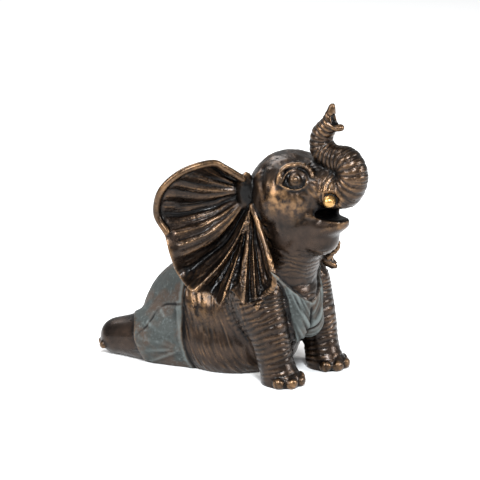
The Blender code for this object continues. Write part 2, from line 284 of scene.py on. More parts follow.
# Lines of the face: path, half width and depth; a negative depth is a ridge.
FACE_LINES = (
    (UPPER_BAG, 0.45, 0.45),
    (LOWER_BAG, 0.45, 0.45),
    (TUSK_FOLD, 1.3, -0.7),
    (LIP, 0.8, -0.5),
    (TEMPLE, 1.8, 0.9),
)
# Places rubbed bright by hands: middle, width and strength. They are cheek, trunk's root, jaw and flank.
RUBBED_PLACES = (
    ((-20, 3, 95), 6.5, 1.0),
    ((-8, -18, 99), 6, 0.8),
    ((-16, -7, 90), 5, 0.6),
    ((-27, 46, 36), 12, 0.5),
)


def smooth_path(points: Path, steps: int) -> np.ndarray:
    """Joins rows of numbers by a Catmull-Rom curve.

    Args:
        points: The rows that the curve passes through.
        steps: Spans between each two of them.

    Returns:
        One row for each point of the curve.
    """
    rows = [np.array(p, float) for p in points]
    rows = [2 * rows[0] - rows[1]] + rows + [2 * rows[-1] - rows[-2]]
    found = []
    for a, b, c, d in zip(rows, rows[1:], rows[2:], rows[3:]):
        for step in range(steps):
            t = step / steps
            bend = (2 * a - 5 * b + 4 * c - d) * t**2 + (3 * b - a - 3 * c + d) * t**3
            found.append(0.5 * (2 * b + (c - a) * t + bend))
    found.append(rows[-2])
    return np.array(found)


def eased(value: np.ndarray, start: float = 0.0, rise: float = 1.0) -> np.ndarray:
    """Eases from 0 to 1.

    Args:
        value: Numbers to place on the way up.
        start: Where the result leaves 0.
        rise: How much further on it reaches 1; a negative rise runs downwards.

    Returns:
        The eased numbers, held from 0 to 1.
    """
    value = np.clip((value - start) / rise, 0, 1)
    return value * value * (3 - 2 * value)


def ramp(value: np.ndarray, start: float, rise: float) -> np.ndarray:
    """Goes straight from 0 to 1.

    Args:
        value: Numbers to place on the way up.
        start: Where the result leaves 0.
        rise: How much further on it reaches 1.

    Returns:
        The share of the way, held from 0 to 1.
    """
    return np.clip((value - start) / rise, 0, 1)


def hump(distance: np.ndarray, width: float, top: float = 0.0) -> np.ndarray:
    """Shapes a soft hump.

    Args:
        distance: Distances, in mm.
        width: Half width of the hump.
        top: The distance at which it is highest.

    Returns:
        1 at the top, falling to 0 on both sides.
    """
    return np.exp(-(((distance - top) / width) ** 2))


def apart(points: np.ndarray, place: Row, radii: Row = (1, 1, 1)) -> np.ndarray:
    """Measures how far points lie from a place.

    Args:
        points: Where from, in mm.
        place: The place.
        radii: Distances along X, Y and Z that count as 1.

    Returns:
        The distance of each point.
    """
    return np.linalg.norm((points - place) / radii, axis=1)


@dataclass(frozen=True)
class Grain:
    """Smooth noise that is the same on each run, and a finer one laid over it."""

    seed: int
    size: float
    stretch: Row = (1, 1, 1)
    fine_size: float = 1.0
    fine_stretch: Row = (1, 1, 1)
    fine_share: float = 0.0
    table_size: int = 32
    seed_shift: float = 3.7

    def at(self, points: np.ndarray) -> np.ndarray:
        """Reads the noise.

        Args:
            points: Where, in mm.

        Returns:
            For each point a value from -1 to 1, and somewhat past it where a finer noise is added.
        """
        total = self.layer(points, self.seed, self.size, self.stretch)
        if self.fine_share:
            fine = self.layer(points, self.seed + 1, self.fine_size, self.fine_stretch)
            total = total + self.fine_share * fine
        return total

    def layer(self, points: np.ndarray, seed: int, size: float, stretch: Row) -> np.ndarray:
        """Reads one layer of the noise.

        Args:
            points: Where, in mm.
            seed: The layer's seed.
            size: Width of one lump, in mm.
            stretch: How many times longer a lump is along X, Y and Z.

        Returns:
            One value from -1 to 1 for each point.
        """
        count = self.table_size
        table = np.random.default_rng(seed).random((count, count, count)) * 2 - 1
        spot = points / (size * np.array(stretch)) + seed * self.seed_shift
        cell = np.floor(spot).astype(int)
        part = eased(spot - cell)
        total = np.zeros(len(points))
        for corner in range(8):
            step = np.array([corner & 1, corner >> 1 & 1, corner >> 2 & 1])
            weight = np.prod(np.where(step, part, 1 - part), axis=1)
            total += weight * table[tuple(((cell + step) % count).T)]
        return total


@dataclass(frozen=True)
class Rings:
    """Creases that run round a limb, one after another."""

    pitch: float
    bend: float
    sharpness: float
    level: float
    depth: float

    def cut(self, way: np.ndarray, wander: np.ndarray) -> np.ndarray:
        """Shapes the creases.

        Args:
            way: Way along the limb, in mm.
            wander: Noise that bends the creases.

        Returns:
            How far each point moves along its normal.
        """
        waves = np.abs(np.sin(math.pi * (way + self.bend * wander) / self.pitch))
        return (waves**self.sharpness - self.level) * self.depth


@dataclass(frozen=True)
class Curve:
    """A smooth path over the skin or through a limb."""

    rows: Path
    steps: int = 5

    def distance(self, points: np.ndarray) -> np.ndarray:
        """Measures the distance to the path.

        Args:
            points: Where from, in mm.

        Returns:
            The distance of each point.
        """
        path = smooth_path(self.rows, self.steps)[:, :3]
        nearest = np.full(len(points), np.inf)
        for a, b in zip(path, path[1:]):
            along = np.clip(((points - a) @ (b - a)) / ((b - a) @ (b - a)), 0, 1)
            gap = np.linalg.norm(points - a - along[:, None] * (b - a), axis=1)
            nearest = np.minimum(nearest, gap)
        return nearest

    def groove(self, points: np.ndarray, width: float, depth: float) -> np.ndarray:
        """Shapes a round-bottomed groove; a negative depth raises a ridge.

        Args:
            points: The skin's points.
            width: Half width of the groove.
            depth: Its depth.

        Returns:
            How far each point moves along its normal.
        """
        return -depth * hump(self.distance(points), width)

    def share(self, points: np.ndarray) -> tuple[np.ndarray, np.ndarray]:
        """Places points on a limb.

        Args:
            points: The skin's points.

        Returns:
            How far out each point lies, 1 on the limb's skin, and its way along the limb in mm.
        """
        path = smooth_path(self.rows, 8)
        spans = np.linalg.norm(np.diff(path[:, :3], axis=0), axis=1)
        ways = np.concatenate([[0], np.cumsum(spans)])
        out = np.full(len(points), np.inf)
        way = np.zeros(len(points))
        for k, row in enumerate(path):
            ahead = path[min(k + 1, len(path) - 1)][:3] - path[max(k - 1, 0)][:3]
            ahead /= np.linalg.norm(ahead)
            offset = points - row[:3]
            near = np.linalg.norm(offset, axis=1) / max(row[3], row[4])
            way = np.where(near < out, ways[k] + offset @ ahead, way)
            out = np.minimum(out, near)
        return out, way


@dataclass
class Forms:
    """Round forms that overlap, before they are fused."""

    shapes: list[bpy.types.Mesh] = field(default_factory=list)

    def take(self, piece: bmesh.types.BMesh) -> None:
        """Adds one finished shape.

        Args:
            piece: The shape, in mm; it is freed.
        """
        mesh = bpy.data.meshes.new("shape")
        piece.to_mesh(mesh)
        piece.free()
        self.shapes.append(mesh)

    def loft(self, stations: Path, side: Side = Side.RIGHT, sides: int = 32, steps: int = 6) -> None:
        """Adds a round form with domed ends.

        Args:
            stations: Rows of x, y, z, half width and half depth; x is for the right side.
            side: The side that the form lies on.
            sides: Corners of each ring.
            steps: Rings between each two stations.
        """
        rows = list(smooth_path([(-side.value * r[0], *r[1:]) for r in stations], steps))
        ends = []
        for first, second in ((rows[0], rows[1]), (rows[-1], rows[-2])):
            away = (first[:3] - second[:3]) / np.linalg.norm(first[:3] - second[:3])
            dome = []
            for k in range(1, DOME_RINGS + 1):
                turn = k * math.pi / (2 * (DOME_RINGS + 1))
                reach = away * min(first[3], first[4]) * math.sin(turn) * DOME_HEIGHT
                dome.append(np.concatenate([first[:3] + reach, first[3:] * math.cos(turn)]))
            ends.append(dome)
        rows = ends[0][::-1] + rows + ends[1]
        tube = bmesh.new()
        loops = []
        for k, row in enumerate(rows):
            ahead = Vector(rows[min(k + 1, len(rows) - 1)][:3] - rows[max(k - 1, 0)][:3]).normalized()
            across = (Vector((1, 0, 0)) - ahead * ahead.x).normalized()
            axes = Matrix((across * row[3], ahead.cross(across) * row[4], ahead)).transposed().to_4x4()
            seat = Matrix.Translation(row[:3]) @ axes
            made = bmesh.ops.create_circle(tube, cap_ends=False, segments=sides, radius=1, matrix=seat)
            loops.append(made["verts"])
        for low, high in zip(loops, loops[1:]):
            both = set(low) | set(high)
            edges = {e for v in both for e in v.link_edges if e.other_vert(v) in both}
            rings = [e for e in edges if (e.verts[0] in low) == (e.verts[1] in low)]
            bmesh.ops.bridge_loops(tube, edges=rings)
        for loop in (loops[0], loops[-1]):
            bmesh.ops.contextual_create(tube, geom=loop)
        self.take(tube)

    def ball(self, form: Ball, side: Side = Side.RIGHT, turn: Row = (0, 0, 0)) -> None:
        """Adds an ellipsoid.

        Args:
            form: Its middle and radii; x is for the right side.
            side: The side that it lies on.
            turn: Degrees about X, Y and Z, for the right side.
        """
        flip = -side.value
        (x, y, z), radii = form
        turned = Matrix.Rotation(math.radians(flip * turn[2]), 4, "Z")
        turned = turned @ Matrix.Rotation(math.radians(flip * turn[1]), 4, "Y")
        turned = turned @ Matrix.Rotation(math.radians(turn[0]), 4, "X")
        seat = Matrix.Translation((flip * x, y, z)) @ turned @ Matrix.Diagonal((*radii, 1))
        piece = bmesh.new()
        bmesh.ops.create_uvsphere(piece, u_segments=40, v_segments=26, radius=1, matrix=seat)
        self.take(piece)

    def fused(self, cell: float, cutter: "Forms | None" = None, soften: int = 0) -> bpy.types.Mesh:
        """Makes the forms one closed skin.

        Args:
            cell: Cell of the skin, in mm.
            cutter: Forms that are cut away.
            soften: Rounds of smoothing.

        Returns:
            The skin's mesh.
        """
        rough = bpy.data.objects.new("forms", self.joined())
        bpy.context.scene.collection.objects.link(rough)
        remesh = rough.modifiers.new("Fuse", "REMESH")
        remesh.mode = "VOXEL"
        remesh.voxel_size = cell
        hollow = None
        if cutter is not None:
            hollow = bpy.data.objects.new("cavities", cutter.joined())
            bpy.context.scene.collection.objects.link(hollow)
            rough.modifiers.new("Cavities", "BOOLEAN").object = hollow
        if soften:
            smooth = rough.modifiers.new("Soften", "SMOOTH")
            smooth.factor = 0.5
            smooth.iterations = soften
        skin = bpy.data.meshes.new_from_object(rough.evaluated_get(bpy.context.evaluated_depsgraph_get()))
        bpy.data.objects.remove(rough)
        if hollow is not None:
            bpy.data.objects.remove(hollow)
        return skin

    def joined(self) -> bpy.types.Mesh:
        """Joins the shapes.

        Returns:
            One mesh of overlapping bodies.
        """
        whole = bmesh.new()
        for shape in self.shapes:
            whole.from_mesh(shape)
            bpy.data.meshes.remove(shape)
        self.shapes.clear()
        mesh = bpy.data.meshes.new("forms")
        whole.to_mesh(mesh)
        whole.free()
        return mesh


@dataclass(frozen=True)
class Body:
    """Torso, bust, legs and tail.

    A nail ring is the half width and half depth of the oval that the nails stand on. Turns are in degrees,
    and the hind feet's splay in radians. Each start and end of carving is where its share begins to change,
    and over how many mm, which is negative where it ends.
    """

    nail_turns: Row = (-62, -20, 25, 69)
    nail_radii: Row = (3, 2, 2.8)
    nail_ring: Row = (8.9, 9.1)
    nail_height: float = 2.6
    hind_nail_turns: Row = (-48, 0, 48)
    hind_nail_radii: Row = (2.4, 1.9, 2.2)
    hind_nail_ring: float = 8.6
    hind_nail_height: float = 5
    hind_splay: float = 0.4
    hind_nail_lean: float = 23
    arm_reach: float = 1.12
    arm_start: Row = (4, 8)
    arm_end: Row = (56, -8)
    arm_rings: Rings = Rings(pitch=2.5, bend=1.1, sharpness=0.5, level=0.8, depth=0.6)
    arm_drift: Grain = Grain(9, 4.5, (2.2, 2.2, 1))
    arm_wander: float = 0.3
    arm_gaps: Grain = Grain(5, 3.4, (2.4, 1, 1))
    arm_filled: float = 0.9
    pebbles: Grain = Grain(6, 1.3)
    pebble_height: float = 0.45
    pebbles_end: Row = (16, -8)
    neck_start: Row = (68, 4)
    neck_off_arm: float = 1.1
    neck_top: float = 68
    neck_back: float = 6
    neck_rings: Rings = Rings(pitch=2.4, bend=1.2, sharpness=0.6, level=0.8, depth=0.42)
    belly: Row = (14, 62)
    belly_top: float = 58
    streaks: Grain = Grain(19, 1.0, (3, 1, 8), 0.6, (3, 1, 9), 0.7)
    streak_lean: float = 0.4
    streak_height: float = 0.24

    def add_mass(self, forms: Forms) -> None:
        """Adds the large forms.

        Args:
            forms: Where they go.
        """
        forms.loft(TORSO, sides=48)
        forms.ball(RUMP)
        forms.ball(CHEST)
        forms.loft(TAIL, sides=16)
        for side in Side:
            forms.ball(BREAST, side)
            forms.loft(FORELEG, side)
            forms.ball(FOREFOOT, side)
            forms.loft(HIND_LEG, side)
            forms.ball(HIND_FOOT, side)

    def add_nails(self, forms: Forms) -> None:
        """Adds the toenails.

        Args:
            forms: Where they go.
        """
        x, y, _ = FOREFOOT[0]
        hind_x, hind_y, _ = HIND_FOOT[0]
        across, deep = self.nail_ring
        for side in Side:
            for turn in self.nail_turns:
                swing = math.radians(turn)
                seat = (x - across * math.sin(swing), y - deep * math.cos(swing), self.nail_height)
                forms.ball((seat, self.nail_radii), side, turn=(0, 0, -turn))
            for turn in self.hind_nail_turns:
                swing = math.radians(turn) + self.hind_splay
                out, back = self.hind_nail_ring * math.sin(swing), self.hind_nail_ring * math.cos(swing)
                seat = (hind_x - out, hind_y + back, self.hind_nail_height)
                forms.ball((seat, self.hind_nail_radii), side, turn=(0, 0, turn + self.hind_nail_lean))

    def creases(self, near: np.ndarray, cloth: np.ndarray, wander: np.ndarray) -> np.ndarray:
        """Carves the creases of forelegs and neck and the pebbles of the shoulders.

        Args:
            near: The skin's points on the right side.
            cloth: 1 on the cloth.
            wander: Noise that bends the creases.

        Returns:
            How far each point moves along its normal.
        """
        _, y, z = near.T
        out, way = Curve(FORELEG).share(near)
        on_arm = out < self.arm_reach
        lines = self.arm_rings.cut(way, self.arm_drift.at(near) + self.arm_wander * wander)
        lines *= eased(way, *self.arm_start) * eased(way, *self.arm_end)
        move = on_arm * eased(self.arm_gaps.at(near), -self.arm_filled) * lines
        pebbles = np.maximum(self.pebbles.at(near), 0)
        move += on_arm * eased(way, *self.pebbles_end) * pebbles * self.pebble_height
        _, neck_way = Curve(TORSO).share(near)
        on_neck = eased(neck_way, *self.neck_start) * (y < self.neck_back) * (z < self.neck_top)
        bare = (out > self.neck_off_arm) * (cloth < 0.2)
        return move + on_neck * bare * self.neck_rings.cut(neck_way, wander)

    def streaked(self, near: np.ndarray, cloth: np.ndarray) -> np.ndarray:
        """Carves the streaks along belly and flank.

        Args:
            near: The skin's points on the right side.
            cloth: 1 on the cloth.

        Returns:
            How far each point moves along its normal.
        """
        x, y, z = near.T
        front, back = self.belly
        on_belly = (y > front) * (y < back) * (z < self.belly_top) * (1 - cloth)
        swept = np.stack([x, y - self.streak_lean * z, z], axis=1)
        return on_belly * self.streaks.at(swept) * self.streak_height


@dataclass(frozen=True)
class Head:
    """Cranium, jaw, trunk, eyes and tusk stubs.

    Rays are the fine wrinkles around the eye. Reaches are shares of the form's own radii.
    """

    lid_radius: float = 0.75
    lower_lid_share: float = 0.8
    brow_radius: float = 1.5
    mouth_turn: Row = (-6, 0, 0)
    tip_turn: Row = (-20, 0, 0)
    trunk_reach: float = 1.3
    trunk_start: Row = (10, 6)
    trunk_rings: Rings = Rings(pitch=2.5, bend=0.5, sharpness=0.55, level=0.75, depth=0.62)
    brow_gap: Row = (1.7, 1.2)
    ray_count: float = 22
    ray_noise: Grain = Grain(8, 3.0)
    ray_wander: float = 2
    ray_height: float = 0.16
    ray_radius: float = 9.5
    ray_width: float = 2.4
    ray_back: float = -4
    streaks: Grain = Grain(21, 1.2, (2, 2, 5), 0.8, (1, 3, 5), 0.7)
    streak_reach: float = 1.1
    streak_front: float = -14
    streak_height: float = 0.26

    def add_mass(self, forms: Forms) -> None:
        """Adds the head and the trunk.

        Args:
            forms: Where they go.
        """
        forms.ball(CRANIUM)
        forms.ball(CHEEKS)
        forms.ball(THROAT)
        forms.loft(JAW)
        forms.loft(TRUNK, steps=8)
        forms.loft(UPPER_FINGER)
        forms.loft(LOWER_FINGER)

    def cavities(self) -> Forms:
        """Shapes the mouth and the opening of the trunk's tip.

        Returns:
            The forms to cut away.
        """
        hollow = Forms()
        hollow.ball(MOUTH, turn=self.mouth_turn)
        hollow.ball(TIP_HOLE, turn=self.tip_turn)
        return hollow

    def add_features(self, forms: Forms) -> None:
        """Adds eyeballs, lids, brows and tusk stubs.

        Args:
            forms: Where they go.
        """
        for side in Side:
            forms.ball((EYEBALL, (EYE_RADIUS,) * 3), side)
            forms.ball((TUSK, (TUSK_RADIUS,) * 3), side)
            for path, radius in (
                (UPPER_LID, self.lid_radius),
                (LOWER_LID, self.lid_radius * self.lower_lid_share),
                (BROW, self.brow_radius),
            ):
                forms.loft([(*row, radius, radius) for row in path], side, sides=12)

    def face(self, near: np.ndarray) -> np.ndarray:
        """Carves the sockets of eyes and tusks, irises, bags, lips, temples and the lines around the eyes.

        Args:
            near: The skin's points on the right side.

        Returns:
            How far each point moves along its normal.
        """
        move = np.zeros(len(near))
        for place, radius, width, depth in FACE_RINGS:
            move -= depth * hump(apart(near, place), width, radius)
        for path, width, depth in FACE_LINES:
            move += Curve(path).groove(near, width, depth)
        _, y, z = near.T
        around = np.arctan2(z - EYE[2], y - EYE[1])
        rays = np.sin(around * self.ray_count + self.ray_wander * self.ray_noise.at(near))
        rays *= y < self.ray_back
        return move + self.ray_height * rays * hump(apart(near, EYE), self.ray_width, self.ray_radius)

    def ringed(self, near: np.ndarray, wander: np.ndarray) -> np.ndarray:
        """Carves the rings of the trunk and keeps them off the brow.

        Args:
            near: The skin's points on the right side.
            wander: Noise that bends the rings.

        Returns:
            How far each point moves along its normal.
        """
        out, way = Curve(TRUNK).share(near)
        on_trunk = (out < self.trunk_reach) * eased(way, *self.trunk_start)
        off_brow = eased(Curve(BROW).distance(near), *self.brow_gap)
        return on_trunk * off_brow * self.trunk_rings.cut(way, wander)

    def streaked(self, near: np.ndarray) -> np.ndarray:
        """Carves the fine streaks of cranium and cheeks.

        Args:
            near: The skin's points on the right side.

        Returns:
            How far each point moves along its normal.
        """
        on_head = (apart(near, *CRANIUM) < self.streak_reach) * (near[:, 1] > self.streak_front)
        return on_head * self.streaks.at(near) * self.streak_height


@dataclass(frozen=True)
class Ear:
    """One fan-shaped ear: ribs from the root to a scalloped rim, rolled at the top and the front.

    Spread and tilt are in degrees. The rims' radii are shares of the ear's thickness, and whatever lies
    along a rib is a share of the rib, 0 at the root and 1 at the rim.
    """

    side: Side
    spread: float = 45.0
    tilt: float = 0.0
    size: float = 1.0
    dip: float = 30.0
    low_dip: float = 0.5
    crest_gain: float = 1.25
    crest_reach: float = 0.62
    sheet_rows: int = 56
    sheet_start: float = 0.08
    rim_share: float = 0.97
    top_rim: float = 0.66
    front_rim: float = 0.54
    root_radii: Row = (4.5, 5, 9.5)
    rib_steps: int = 12
    rib_places: int = 46
    rib_start: float = 0.12
    least_place: Row = (8, -12, 34)
    lined_reach: float = 3.8
    lined_start: Row = (0.16, 0.2)
    lined_end: Row = (0.93, -0.06)
    wander: Grain = Grain(16, 9.0)
    gaps: Grain = Grain(17, 4.0)
    filled: float = 0.75
    lines_per_rib: float = 1.7
    line_wander: float = 0.3
    line_height: float = 0.34
    fine_lines_per_rib: float = 5.3
    fine_wander: float = 0.6
    fine_height: float = 0.14

    def place(self, rib: np.ndarray | Row, share: float) -> Row:
        """Finds a point of the sheet.

        Args:
            rib: The rib's rim point, crest and bow.
            share: Way along the rib, 0 at the root and 1 at the rim.

        Returns:
            x, y and z in mm.
        """
        out, up, forward, crest, bow = rib
        across = np.array([-up, out]) / np.hypot(out, up)
        flat = np.array([out, up]) * share - across * bow * 4 * share * (1 - share)
        height = forward * share**2 - (self.dip + self.low_dip * min(up, 0)) * share * (1 - share) ** 1.5
        height += crest * self.crest_gain * math.sin(math.pi * share**0.8 * self.crest_reach)
        lean, angle = math.radians(self.tilt), math.radians(self.spread)
        out = (flat[0] * math.cos(lean) + flat[1] * math.sin(lean)) * self.size
        up = (flat[1] * math.cos(lean) - flat[0] * math.sin(lean)) * self.size
        height *= self.size
        x = self.side.value * (EAR_ROOT[0] + math.cos(angle) * out + math.sin(angle) * height)
        y = EAR_ROOT[1] + math.sin(angle) * out - math.cos(angle) * height
        return (x, y, EAR_ROOT[2] + up)

    def add(self, forms: Forms) -> None:
        """Adds the ear's sheet, its rolled rims and its root.

        Args:
            forms: Where they go.
        """
        ribs = smooth_path(EAR_RIBS, 10)
        columns = len(ribs) - 1
        sheet = bmesh.new()
        bmesh.ops.create_grid(sheet, x_segments=columns, y_segments=self.sheet_rows, size=0.5)
        for vert in sheet.verts:
            rib = ribs[round((vert.co.x + 0.5) * columns)]
            share = self.sheet_start + (1 - self.sheet_start) * (vert.co.y + 0.5)
            vert.co = self.place(rib, min(share, 1.0))
        back = bmesh.ops.extrude_face_region(sheet, geom=sheet.faces[:])["geom"]
        back = [item for item in back if isinstance(item, bmesh.types.BMVert)]
        angle = math.radians(self.spread)
        behind = Vector((-self.side.value * math.sin(angle), math.cos(angle), 0)) * EAR_THICKNESS
        bmesh.ops.translate(sheet, verts=back, vec=behind)
        bmesh.ops.recalc_face_normals(sheet, faces=sheet.faces)
        forms.take(sheet)
        for rim_ribs, share in ((EAR_RIBS[:7], self.top_rim), (EAR_RIBS[16:], self.front_rim)):
            radius = EAR_THICKNESS * share
            rim = [self.place(rib, self.rim_share) for rib in rim_ribs]
            forms.loft([(-self.side.value * x, y, z, radius, radius) for x, y, z in rim], self.side, sides=16)
        forms.ball(((-EAR_ROOT[0], EAR_ROOT[1] + 4, EAR_ROOT[2] - 1), self.root_radii), self.side)

    def ribs_at(self, points: np.ndarray) -> tuple[np.ndarray, np.ndarray, np.ndarray]:
        """Places points on the ear's ribs.

        Args:
            points: The skin's points, on either side.

        Returns:
            For each point its distance to the sheet, its rib number and its share along the rib.
        """
        ribs = smooth_path(EAR_RIBS, self.rib_steps)
        shares = np.linspace(self.rib_start, 1, self.rib_places)
        tree = KDTree(len(ribs) * len(shares))
        for i, rib in enumerate(ribs):
            for j, share in enumerate(shares):
                tree.insert(self.place(rib, share), i * len(shares) + j)
        tree.balance()
        far = np.full(len(points), np.inf)
        number = np.zeros(len(points))
        along = np.zeros(len(points))
        outward = points * (self.side.value, 1, 1)
        for k in np.flatnonzero((outward > self.least_place).all(axis=1)):
            _, index, gap = tree.find(points[k])
            far[k] = gap
            number[k] = index // len(shares) / self.rib_steps
            along[k] = shares[index % len(shares)]
        return far, number, along

    def lined(self, points: np.ndarray) -> np.ndarray:
        """Carves fine lines along the ribs.

        Args:
            points: The skin's points.

        Returns:
            How far each point moves along its normal.
        """
        far, number, along = self.ribs_at(points)
        on_ear = (far < self.lined_reach) * eased(along, *self.lined_start) * eased(along, *self.lined_end)
        wander = self.wander.at(points)
        lines = np.sin(2 * math.pi * (number * self.lines_per_rib + self.line_wander * wander))
        fine = np.sin(2 * math.pi * (number * self.fine_lines_per_rib + self.fine_wander * wander))
        broken = eased(self.gaps.at(points), -self.filled) * fine
        return on_ear * (self.line_height * lines + self.fine_height * broken)


@dataclass(frozen=True)
class Clothes:
    """Trousers and top, raised on the same casting.

    A fold, seam or valley is its half width and its depth, and a negative depth is a ridge.
    """

    waist: float = 48
    waist_lean: float = 0.17
    trousers_top: Row = (56, -2)
    hem: float = 92
    hem_lean: float = 0.85
    hem_side: float = 24
    hem_lift: float = 0.6
    hem_lifted_height: float = 12
    trousers_edge: float = 0.9
    top_bottom: float = 14
    top_back: float = 26
    top_edge: float = 0.8
    thickness: float = 1.0
    knee_fold: Row = (1.1, -0.6)
    side_seam: Row = (0.7, 0.6)
    bust_valley: Row = (1.2, 1.1)
    gathers: Grain = Grain(11, 1.5, (1, 1, 8), 0.75, (1, 1, 10), 0.8)
    gather_turn: Row = (0.9, 0.42)
    gather_height: float = 0.7
    gathers_back: float = 14
    weave: Grain = Grain(13, 2.4, (1, 2.5, 1), 1.1, (1, 3, 1), 0.6)
    weave_height: float = 0.16
    weave_front: float = 40
    waistband: float = 1.8
    waistband_width: float = 1.2
    waistband_height: float = 0.3

    def cover(self, near: np.ndarray) -> np.ndarray:
        """Finds the cloth.

        Args:
            near: The skin's points on the right side.

        Returns:
            1 on the trousers and the top, 0 on bare skin.
        """
        x, y, z = near.T
        aside, above = near @ SLANT[0], near @ SLANT[1]
        lift = self.hem_lift * np.clip(self.hem_lifted_height - z, 0, self.hem_lifted_height)
        hem = self.hem + self.hem_lean * (x + self.hem_side) - lift - y
        trousers = eased(self.past_waist(near), 0, self.trousers_edge) * eased(hem, 0, self.trousers_edge)
        trousers *= eased(z, *self.trousers_top)
        neck = np.interp(aside, *np.array(NECKLINE).T) - above
        arm = aside - np.interp(above, *np.array(ARM_EDGE).T)
        bottom = np.minimum(z - self.top_bottom, self.top_back - y)
        top = np.ones(len(near))
        for inside in (neck, arm, bottom):
            top *= eased(inside, 0, self.top_edge)
        return np.maximum(trousers, top)

    def past_waist(self, near: np.ndarray) -> np.ndarray:
        """Measures how far behind the trousers' waist points lie.

        Args:
            near: The skin's points on the right side.

        Returns:
            The distance of each point in mm.
        """
        return near[:, 1] - self.waist - self.waist_lean * near[:, 2]

    def draped(self, near: np.ndarray, cloth: np.ndarray) -> np.ndarray:
        """Raises the clothes and folds them.

        Args:
            near: The skin's points on the right side.
            cloth: 1 on the cloth.

        Returns:
            How far each point moves along its normal.
        """
        y = near[:, 1]
        move = cloth * self.thickness + Curve(SIDE_SEAM).groove(near, *self.side_seam)
        folds = [Curve(path).groove(near, *self.knee_fold) for path in KNEE_FOLDS]
        move += cloth * np.max(folds, axis=0)
        on_top = cloth * (y < self.gathers_back)
        aside, above = near @ SLANT[0], near @ SLANT[1]
        main, cross = self.gather_turn
        turned = [main * aside + cross * above, np.zeros(len(near)), main * above - cross * aside]
        move += on_top * self.gathers.at(np.stack(turned, axis=1)) * self.gather_height
        move += on_top * Curve(BUST_VALLEY).groove(near, *self.bust_valley)
        move += cloth * (y > self.weave_front) * self.weave.at(near) * self.weave_height
        band = hump(self.past_waist(near), self.waistband_width, self.waistband)
        return move + cloth * band * self.waistband_height


